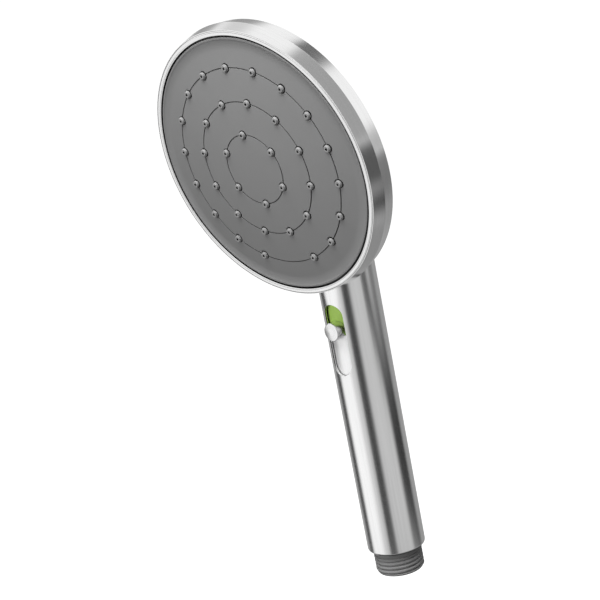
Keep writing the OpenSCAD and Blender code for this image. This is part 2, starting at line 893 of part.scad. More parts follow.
// seal of the regulator
module regulator_o_ring() {
    color("dimgray")
        translate([0, 0, regulator_ring_z])
            o_ring(inlet_r - seat_gap - regulator_ring_d / 2, regulator_ring_d);
}

// strainer below the regulator
module inlet_filter() {
    pitch = 2.2;
    hole_r = 0.75;
    rim_w = 1.2;
    color("gainsboro")
        difference() {
            translate([0, 0, filter_top_z - filter_t])
                cylinder(r = inlet_r - seat_gap, h = filter_t);
            for (row = [-2:2])
                for (i = [-2:2])
                    let (x = (i + (abs(row) % 2) / 2) * pitch, y = row * pitch * sqrt(3) / 2)
                    if (norm([x, y]) < inlet_r - rim_w - hole_r)
                        translate([x, y, filter_top_z - filter_t - cut])
                            cylinder(r = hole_r, h = filter_t + 2 * cut, $fn = 24);
        }
}

// ring that holds the filter in the inlet
module filter_retainer() {
    retainer_h = 1.4;
    retainer_w = 1.2;
    color("darkgray")
        translate([0, 0, filter_top_z - filter_t - insert_gap - retainer_h])
            difference() {
                cylinder(r = inlet_r - seat_gap / 2, h = retainer_h);
                translate([0, 0, -cut])
                    cylinder(r = inlet_r - retainer_w, h = retainer_h + 2 * cut);
            }
}

head_shell();
bezel_ring();
spray_plate();
nozzle_mat();
chamber_gasket();
chamber_cover();
chamber_screws();
spigot_o_rings();
neck_elbow();
elbow_o_rings();
handle_tube();
tube_end_cap();
valve_body();
indicator_strip();
shutter_plate();
slider_knob();
slider_carriage();
carriage_rivets();
valve_spool();
spool_o_rings();
inlet_connector();
connector_o_rings();
lock_ring();
flow_regulator();
regulator_o_ring();
inlet_filter();
filter_retainer();
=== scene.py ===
import math

import bmesh
import bpy
from mathutils import Matrix, Vector


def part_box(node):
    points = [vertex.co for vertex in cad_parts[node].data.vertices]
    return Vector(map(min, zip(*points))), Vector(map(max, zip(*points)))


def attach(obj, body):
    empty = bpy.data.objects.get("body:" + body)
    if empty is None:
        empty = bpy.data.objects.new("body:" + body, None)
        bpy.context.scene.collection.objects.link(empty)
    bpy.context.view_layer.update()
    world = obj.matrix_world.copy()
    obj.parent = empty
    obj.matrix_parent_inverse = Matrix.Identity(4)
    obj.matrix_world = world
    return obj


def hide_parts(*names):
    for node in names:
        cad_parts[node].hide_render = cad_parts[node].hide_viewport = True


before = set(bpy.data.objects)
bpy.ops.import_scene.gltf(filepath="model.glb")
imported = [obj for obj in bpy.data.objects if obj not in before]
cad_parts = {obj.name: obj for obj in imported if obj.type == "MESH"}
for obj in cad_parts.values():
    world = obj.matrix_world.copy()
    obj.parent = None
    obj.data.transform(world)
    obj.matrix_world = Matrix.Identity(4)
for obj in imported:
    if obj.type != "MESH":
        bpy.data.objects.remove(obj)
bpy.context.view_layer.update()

# ---------------------------------------------------------------- Camera
# It looks down on the head's face from the front right, and leans so that
# the handle stands at a slant.
mm = 0.001
view_azimuth = math.radians(47.545)
view_elevation = math.radians(14.342)
view_lean = math.radians(-11.024)
view_distance = 683.9 * mm
view_point = Vector((-16.66, -12.92, 113.97)) * mm
lens_mm = 98.612
sensor_mm = 36


def placed(name, data):
    """a new object of the scene"""
    made = bpy.data.objects.new(name, data)
    bpy.context.scene.collection.objects.link(made)
    return made


view_back = Vector((
    math.sin(view_azimuth) * math.cos(view_elevation),
    -math.cos(view_azimuth) * math.cos(view_elevation),
    math.sin(view_elevation),
))
camera_data = bpy.data.cameras.new("view_camera")
camera_data.lens = lens_mm
camera_data.sensor_width = sensor_mm
camera_data.clip_start = 10 * mm
camera = placed("view_camera", camera_data)
camera.matrix_world = (
    Matrix.Translation(view_point + view_back * view_distance)
    @ (-view_back).to_track_quat("-Z", "Y").to_matrix().to_4x4()
    @ Matrix.Rotation(view_lean, 4, "Z")
)
bpy.context.scene.camera = camera
bpy.context.scene.view_settings.view_transform = "Standard"

# ---------------------------------------------------------------- Studio
# A pale floor, a white surround, two wide soft lamps, and a round tent whose
# grey panels only the reflections of the steel and the plastics see.
floor_z = -500 * mm
floor_reach = 30
floor_grey = 0.45
plain_light = 0.12
tent_radius = 450 * mm
tent_centre = Vector((0, -20, 120)) * mm
lamp_distance = 1.2


def add(tree, kind, sockets=None, **settings):
    """a new node, with its settings and with values or links for its sockets"""
    made = tree.nodes.new(kind)
    for name, value in settings.items():
        setattr(made, name, value)
    for socket, value in (sockets or {}).items():
        if isinstance(value, bpy.types.NodeSocket):
            tree.links.new(value, made.inputs[socket])
        else:
            made.inputs[socket].default_value = value
    return made


def maths(tree, operation, *values):
    """result of a sum on sockets or numbers"""
    return add(tree, "ShaderNodeMath", dict(enumerate(values)), operation=operation).outputs[0]


def seen_by(tree):
    """two sockets: 1 for rays from the camera, and 1 for those that steel or clear plastic sends on"""
    path = add(tree, "ShaderNodeLightPath").outputs
    return path["Is Camera Ray"], maths(tree, "MAXIMUM", path["Is Glossy Ray"], path["Is Transmission Ray"])


def bare_material(name):
    """a material whose node tree is still empty"""
    material = bpy.data.materials.new(name)
    material.use_nodes = True
    material.node_tree.nodes.clear()
    return material


world = bpy.data.worlds.new("white_surround")
world.use_nodes = True
sky = world.node_tree
sky.nodes.clear()
plain = add(sky, "ShaderNodeBackground", {"Color": (1, 1, 1, 1), "Strength": plain_light})
white = add(sky, "ShaderNodeBackground", {"Color": (1, 1, 1, 1), "Strength": 1.0})
sky_mix = add(sky, "ShaderNodeMixShader", {
    0: maths(sky, "MAXIMUM", *seen_by(sky)), 1: plain.outputs[0], 2: white.outputs[0],
})
add(sky, "ShaderNodeOutputWorld", {"Surface": sky_mix.outputs[0]})
bpy.context.scene.world = world

floor_corners = ((-1, -1), (1, -1), (1, 1), (-1, 1))
floor_mesh = bpy.data.meshes.new("floor")
floor_mesh.from_pydata(
    [(x * floor_reach, y * floor_reach, floor_z) for x, y in floor_corners], [], [(0, 1, 2, 3)],
)
floor = placed("floor", floor_mesh)
floor_paint = bare_material("pale_floor")
tree = floor_paint.node_tree
straight, mirrored = seen_by(tree)
matt = add(tree, "ShaderNodeBsdfDiffuse", {"Color": (floor_grey, floor_grey, floor_grey, 1)})
lift = add(tree, "ShaderNodeEmission", {"Color": (1, 1, 1, 1), "Strength": straight})
both = add(tree, "ShaderNodeAddShader", {0: matt.outputs[0], 1: lift.outputs[0]})
white = add(tree, "ShaderNodeEmission", {"Color": (1, 1, 1, 1), "Strength": 1.0})
both = add(tree, "ShaderNodeMixShader", {0: mirrored, 1: both.outputs[0], 2: white.outputs[0]})
add(tree, "ShaderNodeOutputMaterial", {"Surface": both.outputs[0]})
floor_mesh.materials.append(floor_paint)

# panels of the tent: middle azimuth, half width, lowest and highest elevation
# in degrees, how soft the edges are, and how bright the panel is
tent_panels = [
    (180, 62, -90, 3, 10, 0.32),
    (-148, 26, -34, -20, 8, 0.36),
    (82, 62, -90, 12, 8, 0.56),
    (98, 28, 8, 78, 6, 0.38),
    (152, 14, 2, 16, 6, 0.52),
    (-112, 30, -90, 14, 12, 0.42),
    (-130, 17, 17, 43, 6, 0.33),
    (-114, 16, 46, 70, 8, 0.70),
    (172, 17, 45, 67, 6, 0.13),
    (4, 14, -90, 30, 12, 0.66),
    (-77, 17, -90, 30, 11, 0.06),
    (31, 17, -90, 30, 8, 0.05),
    (111, 12, -20, 8, 6, 0.09),
    (152, 14, -14, 4, 6, 0.20),
    (139, 22, -39, -16, 9, 0.03),
    (180, 180, -90, -42, 8, 0.28),
]

tent_mesh = bpy.data.meshes.new("tent")
tent_shape = bmesh.new()
bmesh.ops.create_uvsphere(tent_shape, u_segments=64, v_segments=32, radius=tent_radius)
bmesh.ops.translate(tent_shape, verts=tent_shape.verts, vec=tent_centre)
tent_shape.to_mesh(tent_mesh)
tent_shape.free()
tent_mesh.shade_smooth()
tent = placed("tent", tent_mesh)
tent.visible_camera = False
tent.visible_diffuse = False
tent.visible_shadow = False
tent.visible_transmission = False
tent_cloth = bare_material("tent_cloth")
tree = tent_cloth.node_tree
spot = add(tree, "ShaderNodeTexCoord").outputs["Object"]
spot = add(tree, "ShaderNodeVectorMath", {0: spot, 1: tent_centre}, operation="SUBTRACT").outputs[0]
spot = add(tree, "ShaderNodeVectorMath", {0: spot}, operation="NORMALIZE").outputs[0]
part = add(tree, "ShaderNodeSeparateXYZ", {0: spot}).outputs
azimuth = maths(tree, "ARCTAN2", part["X"], maths(tree, "MULTIPLY", part["Y"], -1.0))
azimuth = maths(tree, "DEGREES", azimuth)
elevation = maths(tree, "DEGREES", maths(tree, "ARCSINE", part["Z"]))


def edge(tree, value, start, end):
    """rises smoothly from 0 at the start to 1 at the end"""
    made = add(tree, "ShaderNodeMapRange", {
        "Value": value, "From Min": start, "From Max": end, "To Min": 0.0, "To Max": 1.0,
    }, interpolation_type="SMOOTHSTEP")
    return made.outputs[0]


level, cover = 1.0, 0.0
for middle, reach, low, high, soft, brightness in tent_panels:
    turn = maths(tree, "WRAP", maths(tree, "SUBTRACT", azimuth, float(middle)), 180.0, -180.0)
    side = edge(tree, maths(tree, "ABSOLUTE", turn), reach + soft, reach - soft)
    above = edge(tree, elevation, low - soft, low + soft)
    below = edge(tree, elevation, high + soft, high - soft)
    panel = maths(tree, "MULTIPLY", side, maths(tree, "MULTIPLY", above, below))
    level = add(tree, "ShaderNodeMix", {"Factor": panel, "A": level, "B": brightness}).outputs[0]
    cover = maths(tree, "MAXIMUM", cover, panel)
grey = add(tree, "ShaderNodeEmission", {"Color": (1, 1, 1, 1), "Strength": level})
clear = add(tree, "ShaderNodeBsdfTransparent")
cloth = add(tree, "ShaderNodeMixShader", {0: cover, 1: clear.outputs[0], 2: grey.outputs[0]})
add(tree, "ShaderNodeOutputMaterial", {"Surface": cloth.outputs[0]})
tent_mesh.materials.append(tent_cloth)

# round lamps: direction from the tent's centre, width in metres and power in watts
lamps = [
    ("high_lamp", (0.16, -0.33, 0.93), 1.1, 31.0),
    ("front_lamp", (-0.25, -0.96, 0.1), 0.8, 4.6),
]
for name, aim, width, power in lamps:
    lamp_data = bpy.data.lights.new(name, "AREA")
    lamp_data.shape = "DISK"
    lamp_data.size = width
    lamp_data.energy = power
    lamp = placed(name, lamp_data)
    lamp.location = tent_centre + Vector(aim).normalized() * lamp_distance
    lamp.rotation_mode = "QUATERNION"
    lamp.rotation_quaternion = Vector(aim).to_track_quat("Z", "Y")
    lamp.visible_glossy = False

# ---------------------------------------------------------------- Head shell
# The housing is pressed from one sheet of stainless steel: a side wall of two
# shallow bands and a conical back. It is turned and then brushed round.
head_tilt = math.radians(10)
grip_length = 126 * mm
tuck_gap = 1.25 * mm
lip_t = 0.3 * mm
seat_gap = 0.1 * mm
ridge_out = 1.1 * mm
ridge_depth = 5.8 * mm
side_depth = 11.9 * mm
back_slope = math.radians(24)
back_round = 20 * mm
ridge_round = 0.35 * mm
side_round = 0.4 * mm
shell_wall = 1.2 * mm
shell_side_wall = 1.3 * mm
spigot_drop = 24 * mm
spigot_hole_r = 7 * mm

shell_low, shell_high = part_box("head_shell")
tube_low, tube_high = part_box("handle_tube")
ridge_r = min(shell_high.x, -shell_low.x)
rim_r = ridge_r - ridge_out
handle_r = min(tube_high.x, -tube_low.x)
spray_way = Vector((0, -math.cos(head_tilt), -math.sin(head_tilt)))
head_up = Vector((0, -math.sin(head_tilt), math.cos(head_tilt)))
axis_depth = side_depth + tuck_gap + handle_r / math.cos(head_tilt)
head_centre = Vector((0, 0, grip_length)) + head_up * rim_r + spray_way * axis_depth
head_place = Matrix.Translation(head_centre) @ Matrix((
    (1, 0, 0, 0),
    (0, head_up.y, spray_way.y, 0),
    (0, head_up.z, spray_way.z, 0),
    (0, 0, 0, 1),
))


def rounded(corners, arc_steps=4):
    """outline with round corners, from (radius, height) or (radius, height, rounding)"""
    outline = []
    for i, corner in enumerate(corners):
        here = Vector(corner[:2])
        if len(corner) == 2:
            outline.append(here)
            continue
        into = (here - Vector(corners[i - 1][:2])).normalized()
        out = (Vector(corners[(i + 1) % len(corners)][:2]) - here).normalized()
        turn = into.angle_signed(out)
        start = here - into * corner[2] * math.tan(abs(turn) / 2)
        side = Vector((into.y, -into.x)) * math.copysign(corner[2], turn)
        for step in range(arc_steps + 1):
            swing = Matrix.Rotation(-turn * step / arc_steps, 2)
            outline.append(start + side - swing @ side)
    return outline


def solid(name, points, faces, place=Matrix.Identity(4)):
    """a closed piece from its points and faces, with its normals outward, set in its place"""
    mesh = bpy.data.meshes.new(name)
    mesh.from_pydata(points, [], faces)
    shape = bmesh.new()
    shape.from_mesh(mesh)
    bmesh.ops.remove_doubles(shape, verts=shape.verts, dist=0.001 * mm)
    bmesh.ops.recalc_face_normals(shape, faces=shape.faces)
    bmesh.ops.transform(shape, verts=shape.verts, matrix=place)
    shape.to_mesh(mesh)
    shape.free()
    return placed(name, mesh)


def turned(name, outline, place=Matrix.Identity(4), steps=192):
    """solid spun from a closed outline of (radius, height) about the place's Z axis"""
    points = [
        (radius * math.cos(turn), radius * math.sin(turn), height)
        for turn in (2 * math.pi * step / steps for step in range(steps))
        for radius, height in outline
    ]
    count = len(outline)
    faces = []
    for step in range(steps):
        here, there = step * count, (step + 1) % steps * count
        for i in range(count):
            j = (i + 1) % count
            faces.append((here + i, here + j, there + j, there + i))
    return solid(name, points, faces, place)


def settled(piece):
    """makes what the modifiers give the piece's plain mesh"""
    bpy.context.view_layer.update()
    graph = bpy.context.evaluated_depsgraph_get()
    mesh = bpy.data.meshes.new_from_object(piece.evaluated_get(graph), depsgraph=graph)
    piece.modifiers.clear()
    piece.data = mesh


def finished(piece, material, sharp=30, cutters=()):
    """cuts the tools out of the piece, shades it with crisp edges above the angle
    sharp and with even flats, and gives it its material"""
    for tool in cutters:
        knife = piece.modifiers.new("cut", "BOOLEAN")
        knife.operation = "DIFFERENCE"
        knife.solver = "EXACT"
        knife.object = tool
    if cutters:
        settled(piece)
        for tool in cutters:
            bpy.data.objects.remove(tool)
    piece.data.shade_smooth()
    piece.data.set_sharp_from_angle(angle=math.radians(sharp))
    even = piece.modifiers.new("even", "WEIGHTED_NORMAL")
    even.keep_sharp = True
    even.weight = 90
    settled(piece)
    piece.data.materials.clear()
    piece.data.materials.append(material)


def on_body(piece, body, slot, *nodes):
    """the piece rides on its body and stands for the nodes; slot is not used"""
    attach(piece, body)
    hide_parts(*nodes)


def about_axis(tree, spot):
    """the spot's parts, its vector away from the Z axis, and its distance from that axis"""
    part = add(tree, "ShaderNodeSeparateXYZ", {0: spot}).outputs
    flat = add(tree, "ShaderNodeCombineXYZ", {0: part["X"], 1: part["Y"]}).outputs[0]
    return part, flat, add(tree, "ShaderNodeVectorMath", {0: flat}, operation="LENGTH").outputs["Value"]


def lines_round(tree, place, fine, drawn):
    """pattern space whose lines run round the place's Z axis: fine and drawn scale
    the pattern across the lines and along them"""
    spot = add(tree, "ShaderNodeTexCoord").outputs["Object"]
    inverse = place.inverted()
    spot = add(tree, "ShaderNodeMapping", {
        "Vector": spot, "Location": inverse.to_translation(), "Rotation": inverse.to_euler(),
    }).outputs[0]
    part, flat, radius = about_axis(tree, spot)
    across = add(tree, "ShaderNodeCombineXYZ", {0: radius, 1: part["Z"]}).outputs[0]
    across = add(tree, "ShaderNodeVectorMath", {0: across, "Scale": fine}, operation="SCALE").outputs[0]
    along = add(tree, "ShaderNodeVectorMath", {0: flat, "Scale": drawn}, operation="SCALE").outputs[0]
    return add(tree, "ShaderNodeVectorMath", {0: across, 1: along}, operation="ADD").outputs[0]


def lines_along(tree, fine, drawn):
    """pattern space whose lines run along Z, scaled in the same way"""
    spot = add(tree, "ShaderNodeTexCoord").outputs["Object"]
    return add(tree, "ShaderNodeMapping", {"Vector": spot, "Scale": (fine, fine, drawn)}).outputs[0]


def brushed_steel(name, lines, tone, shine, streak, relief, metal=1.0):
    """stainless steel with fine brush lines: lines makes their space in the tree,
    shine is the roughness, streak and relief say how strongly the lines show"""
    material = bpy.data.materials.new(name)
    material.use_nodes = True
    tree = material.node_tree
    shader = tree.nodes["Principled BSDF"]
    space = lines(tree)
    line = add(tree, "ShaderNodeTexNoise", {
        "Vector": space, "Scale": 1.0, "Detail": 5.0, "Roughness": 0.65,
    }).outputs[0]
    tint = add(tree, "ShaderNodeMapRange", {
        "Value": line, "From Min": 0.3, "From Max": 0.7,
        "To Min": tone * (1 - streak), "To Max": min(1.0, tone * (1 + streak)),
    }).outputs[0]
    gloss = add(tree, "ShaderNodeMapRange", {
        "Value": line, "From Min": 0.3, "From Max": 0.7,
        "To Min": shine * (1 + 3 * streak), "To Max": shine * (1 - 3 * streak),
    }).outputs[0]
    grey = add(tree, "ShaderNodeCombineColor", {0: tint, 1: tint, 2: tint}).outputs[0]
    tree.links.new(grey, shader.inputs["Base Color"])
    tree.links.new(gloss, shader.inputs["Roughness"])
    shader.inputs["Metallic"].default_value = metal
    bump = add(tree, "ShaderNodeBump", {"Strength": relief, "Distance": 0.01 * mm, "Height": line})
    tree.links.new(bump.outputs[0], shader.inputs["Normal"])
    return material


back_arc_r = back_round / math.sin(back_slope)
cone_rise = (rim_r - back_round) * math.tan(back_slope)
back_arc_z = -side_depth - cone_rise + back_arc_r * math.cos(back_slope)


def back_line(shift, steps=12):
    """the back's rounded centre, from its edge to the axis, a shift outside the steel"""
    swings = [back_slope * (1 - i / steps) for i in range(steps + 1)]
    reach = back_arc_r + shift
    return [(reach * math.sin(a), back_arc_z - reach * math.cos(a)) for a in swings]


lip_edge = 0.15 * mm
shell_in_r = rim_r - shell_side_wall
shell_in_depth = side_depth - 0.9 * mm
bezel_t = 2 * mm
shell_outline = rounded([
    (rim_r - lip_t, -lip_edge), (rim_r, -lip_edge, lip_edge),
    (ridge_r, -ridge_depth, ridge_round), (rim_r, -side_depth, side_round),
    *back_line(0), *reversed(back_line(-shell_wall)),
    (shell_in_r, -shell_in_depth), (shell_in_r, -bezel_t - seat_gap / 2),
    (rim_r - lip_t, -bezel_t - seat_gap / 2),
])
head_shell = turned("housing", shell_outline, head_place, steps=256)
drill_end_z = -side_depth - cone_rise - back_round
spigot_drill = turned("spigot_drill", [
    (0, drill_end_z), (spigot_hole_r, drill_end_z), (spigot_hole_r, -side_depth), (0, -side_depth),
], head_place @ Matrix.Translation((0, -spigot_drop, 0)), steps=64)
shell_steel = brushed_steel(
    "shell_steel", lambda tree: lines_round(tree, head_place, 1500, 30), 0.86, 0.17, 0.035, 0.06,
)
finished(head_shell, shell_steel, cutters=[spigot_drill])
on_body(head_shell, "shower_body", "brushed_shell", "head_shell")

# ---------------------------------------------------------------- Spray plate
# The face is one moulded plate of grey plastic, a low dome with a cove round it.
# Three fine grooves run from hole to hole of the 35 for the nozzles, and the
# bright ring holds the plate's flange in the housing.
dome_rise = 3.7 * mm
dome_r = 48.4 * mm
dome_drop = 0.4 * mm
dome_steps = 48
cove_w = 3.9 * mm
cove_slope = math.radians(12)
cove_steps = 12
bead_w = 1 * mm
bead_h = 0.15 * mm
plate_t = 1.8 * mm
flange_t = 2 * mm
flange_w = 5.2 * mm
groove_w = 0.5 * mm
groove_d = 0.4 * mm
first_ring_r = 14.7 * mm
ring_pitch = 13.35 * mm
ring_count = 3
first_ring_holes = 6
hole_r = 1.88 * mm
hole_edge = 0.08 * mm
drill_reach = 6 * mm
drill_flare = 3 * mm
# measures that differ by less count as the same
hair = 0.01 * mm

dome_ball_r = (dome_r ** 2 + (dome_rise + dome_drop) ** 2) / (2 * (dome_rise + dome_drop))
dome_ball_z = dome_rise - dome_ball_r


def dome_z(radius, depth=0.0):
    """height of the dome at a radius, a depth below its face"""
    return dome_ball_z + math.sqrt((dome_ball_r - depth) ** 2 - radius ** 2)


cove_start = math.asin(dome_r / dome_ball_r)
cove_arc_r = cove_w / (math.sin(cove_start) + math.sin(cove_slope))
cove = []
for i in range(1, cove_steps + 1):
    slope = cove_start - (cove_start + cove_slope) * i / cove_steps
    cove.append((
        dome_r + cove_arc_r * (math.sin(cove_start) - math.sin(slope)),
        -dome_drop + cove_arc_r * (math.cos(cove_start) - math.cos(slope)),
    ))
bead_in_r, bead_z = cove[-1]
plate_edge_r = bead_in_r + bead_w
ring_radii = [first_ring_r + ring_pitch * i for i in range(ring_count)]
dome_line = []
for i in range(dome_steps + 1):
    radius = dome_r * i / dome_steps
    if all(abs(radius - ring) > groove_w for ring in ring_radii):
        dome_line.append((radius, dome_z(radius)))
for ring in ring_radii:
    dome_line += [
        (ring - groove_w / 2, dome_z(ring - groove_w / 2)), (ring - groove_w / 3, dome_z(ring, groove_d)),
        (ring + groove_w / 3, dome_z(ring, groove_d)), (ring + groove_w / 2, dome_z(ring + groove_w / 2)),
    ]
dome_line.sort()
insert_r = shell_in_r - seat_gap
mat_r = insert_r - flange_w
mat_room_r = mat_r + 0.4 * mm
flange_top_z = -bezel_t - seat_gap
shaded_z = bead_z - 0.3 * mm


def mat_line(depth, steps=12):
    """the dome's curve a depth below its face, from the axis to the mat's edge"""
    return [(mat_r * i / steps, dome_z(mat_r * i / steps, depth)) for i in range(steps + 1)]


plate_outline = rounded([
    *dome_line, *cove, (bead_in_r + 0.2 * mm, bead_z + bead_h, 0.15 * mm),
    (plate_edge_r, bead_z + bead_h, 0.25 * mm), (plate_edge_r, shaded_z + 0.05 * mm),
    (plate_edge_r, shaded_z - 0.05 * mm), (plate_edge_r, flange_top_z),
    (insert_r, flange_top_z), (insert_r, flange_top_z - flange_t),
    (mat_room_r, flange_top_z - flange_t), *reversed(mat_line(plate_t)),
])
spray_plate = turned("spray_face", plate_outline, steps=256)


def pattern_tree(name, inputs):
    """a tree of geometry nodes with inputs of these names and kinds, and the inputs' sockets"""
    tree = bpy.data.node_groups.new(name, "GeometryNodeTree")
    for label, kind in {"Geometry": "Geometry", **inputs}.items():
        tree.interface.new_socket(label, in_out="INPUT", socket_type="NodeSocket" + kind)
    tree.interface.new_socket("Geometry", in_out="OUTPUT", socket_type="NodeSocketGeometry")
    return tree, add(tree, "NodeGroupInput").outputs


def patterned(carrier, tree, values):
    """runs the tree on the carrier with the values of its inputs, and keeps the plain mesh"""
    pattern = carrier.modifiers.new("pattern", "NODES")
    pattern.node_group = tree
    for item in tree.interface.items_tree:
        if item.in_out == "INPUT" and item.name in values:
            pattern[item.identifier] = values[item.name]
    settled(carrier)


def on_rings():
    """node tree that sets a piece on the three rings of the dome, the outer one
    without its place above the handle, and joins them to what comes in"""
    tree, given = pattern_tree("on_rings", {
        "First Ring": "Float", "Ring Pitch": "Float", "Ball Radius": "Float", "Ball Height": "Float",
        "Piece": "Object", "Material": "Material",
    })
    shape = add(tree, "GeometryNodeObjectInfo", {"Object": given["Piece"]}).outputs["Geometry"]
    joined = add(tree, "GeometryNodeJoinGeometry")
    for ring in range(ring_count):
        count = first_ring_holes * (ring + 1)
        radius = maths(tree, "MULTIPLY_ADD", given["Ring Pitch"], float(ring), given["First Ring"])
        circle = add(tree, "GeometryNodeMeshCircle", {"Vertices": count, "Radius": radius}).outputs[0]
        if ring == ring_count - 1:
            index = add(tree, "GeometryNodeInputIndex").outputs[0]
            first = add(tree, "FunctionNodeCompare", {"A": index, "B": 0},
                        data_type="INT", operation="EQUAL").outputs[0]
            circle = add(tree, "GeometryNodeDeleteGeometry",
                         {"Geometry": circle, "Selection": first}).outputs[0]
        square = maths(tree, "MULTIPLY", radius, radius)
        ball = maths(tree, "MULTIPLY", given["Ball Radius"], given["Ball Radius"])
        height = maths(tree, "SQRT", maths(tree, "SUBTRACT", ball, square))
        height = maths(tree, "ADD", height, given["Ball Height"])
        lift = add(tree, "ShaderNodeCombineXYZ", {"Z": height}).outputs[0]
        turn = math.radians(-90 + (180 / count if ring == 1 else 0))
        circle = add(tree, "GeometryNodeTransform", {
            "Geometry": circle, "Translation": lift, "Rotation": (0, 0, turn),
        }).outputs[0]
        spread = add(tree, "GeometryNodeInstanceOnPoints", {"Points": circle, "Instance": shape})
        tree.links.new(spread.outputs[0], joined.inputs[0])
    real = add(tree, "GeometryNodeRealizeInstances", {"Geometry": joined.outputs[0]})
    both = add(tree, "GeometryNodeJoinGeometry")
    tree.links.new(real.outputs[0], both.inputs[0])
    tree.links.new(given["Geometry"], both.inputs[0])
    skin = add(tree, "GeometryNodeSetMaterial", {
        "Geometry": both.outputs[0], "Material": given["Material"],
    })
    add(tree, "NodeGroupOutput", {"Geometry": skin.outputs[0]})
    return tree


ring_tree = on_rings()


def set_on_rings(carrier, piece, material):
    """sets a piece on the dome's rings and joins it to the carrier, in the head's place"""
    patterned(carrier, ring_tree, {
        "First Ring": first_ring_r, "Ring Pitch": ring_pitch, "Ball Radius": dome_ball_r,
        "Ball Height": dome_ball_z, "Piece": piece, "Material": material,
    })
    carrier.data.transform(head_place)
    bpy.data.objects.remove(piece)


def moulded(name, colour, rough, grain, mottle):
    """moulded plastic or rubber: a colour with faint mottling and a fine matt grain"""
    material = bpy.data.materials.new(name)
    material.use_nodes = True
    tree = material.node_tree
    shader = tree.nodes["Principled BSDF"]
    spot = add(tree, "ShaderNodeTexCoord").outputs["Object"]
    cloud = add(tree, "ShaderNodeTexNoise", {"Vector": spot, "Scale": 90.0, "Detail": 3.0}).outputs[0]
    fine = add(tree, "ShaderNodeTexNoise", {"Vector": spot, "Scale": 4000.0, "Detail": 2.0}).outputs[0]
    dark = [c * (1 - mottle) for c in colour] + [1]
    light = [min(1, c * (1 + mottle)) for c in colour] + [1]
    tint = add(tree, "ShaderNodeMix", {"Factor": cloud, "A": dark, "B": light}, data_type="RGBA")
    tree.links.new(tint.outputs["Result"], shader.inputs["Base Color"])
    gloss = add(tree, "ShaderNodeMapRange", {
        "Value": fine, "To Min": rough - 0.06, "To Max": rough + 0.06,
    }).outputs[0]
    tree.links.new(gloss, shader.inputs["Roughness"])
    bump = add(tree, "ShaderNodeBump", {"Strength": grain, "Distance": 0.02 * mm, "Height": fine})
    tree.links.new(bump.outputs[0], shader.inputs["Normal"])
    return material


def mix_in_painted_shade(material, painted_shade, grey):
    """paints shade into the material: its colour turns to a darker grey where the mask socket is 1"""
    tree = material.node_tree
    shader = tree.nodes["Principled BSDF"]
    outside = shader.inputs["Base Color"].links[0].from_socket
    tint = add(tree, "ShaderNodeMix", {
        "Factor": painted_shade, "A": outside, "B": (grey, grey, grey, 1),
    }, data_type="RGBA")
    tree.links.new(tint.outputs["Result"], shader.inputs["Base Color"])


def paint_shade_where(piece, material, painted_shade, grey):
    """paints shade into the material where the given test of (radius, height) about the piece's Z axis
    holds
    """
    mark = piece.data.attributes.new("painted_shade", "FLOAT", "POINT")
    for point in piece.data.vertices:
        mark.data[point.index].value = float(painted_shade(math.hypot(point.co.x, point.co.y), point.co.z))
    depth = add(material.node_tree, "ShaderNodeAttribute", attribute_name="painted_shade").outputs["Fac"]
    mix_in_painted_shade(material, depth, grey)


# painted shade: the plate edge's wall and the bottoms of the grooves are painted near black for the shade
# that falls there
plate_grey = moulded("plate_grey", (0.205, 0.205, 0.205), 0.5, 0.3, 0.03)
paint_shade_where(spray_plate, plate_grey, lambda radius, height: (
    height < shaded_z and radius > plate_edge_r - hair
    or height > 0 and any(abs(radius - ring) < 0.4 * groove_w for ring in ring_radii)
), 0.06)
spray_plate.data.transform(head_place)
drill = turned("nozzle_drill", [
    (0, -drill_reach), (hole_r, -drill_reach), (hole_r, -hole_edge),
    (hole_r + drill_flare, drill_flare - hole_edge), (0, drill_flare),
], steps=32)
drills = placed("nozzle_drills", bpy.data.meshes.new("nozzle_drills"))
set_on_rings(drills, drill, plate_grey)
finished(spray_plate, plate_grey, cutters=[drills])
on_body(spray_plate, "shower_body", "spray_grey", "spray_plate")

# ---------------------------------------------------------------- Nozzle mat
# One mat moulded in soft silicone lies clamped behind the plate. Its 35 nozzles
# come through the holes, and lime can be rubbed off them with a thumb.
nozzle_r = 1.6 * mm
nozzle_tip_r = 1.2 * mm
nozzle_reach = 1.05 * mm
nozzle_foot = 0.1 * mm
jet_r = 0.5 * mm
mat_t = 1.5 * mm

mat_top = plate_t + seat_gap
mat_outline = [*mat_line(mat_top), *reversed(mat_line(mat_top + mat_t))]
nozzle_mat = turned("nozzle_mat_soft", mat_outline, steps=96)
nozzle_root_z = -mat_top - mat_t / 2
foot_points = [
    (nozzle_r + (nozzle_tip_r - nozzle_r) * up / nozzle_reach, up)
    for up in (nozzle_foot, 2 * nozzle_foot)
]
nozzle_outline = rounded([
    (jet_r, nozzle_root_z), (nozzle_r, nozzle_root_z), (nozzle_r, 0), *foot_points,
    (nozzle_tip_r, nozzle_reach, 0.1 * mm), (jet_r, nozzle_reach, 0.05 * mm),
])
nozzle = turned("nozzle", nozzle_outline, steps=28)
# painted shade: the jet bore and the nozzle's foot in its hole are painted near black for the shade there
silicone = moulded("nozzle_silicone", (0.26, 0.26, 0.26), 0.45, 0.2, 0.03)
paint_shade_where(nozzle, silicone, lambda radius, height: (
    radius < jet_r + hair or height < nozzle_foot + hair
), 0.01)
set_on_rings(nozzle_mat, nozzle, silicone)
finished(nozzle_mat, silicone, sharp=40)
on_body(nozzle_mat, "shower_body", "nozzle_rubber", "nozzle_mat")

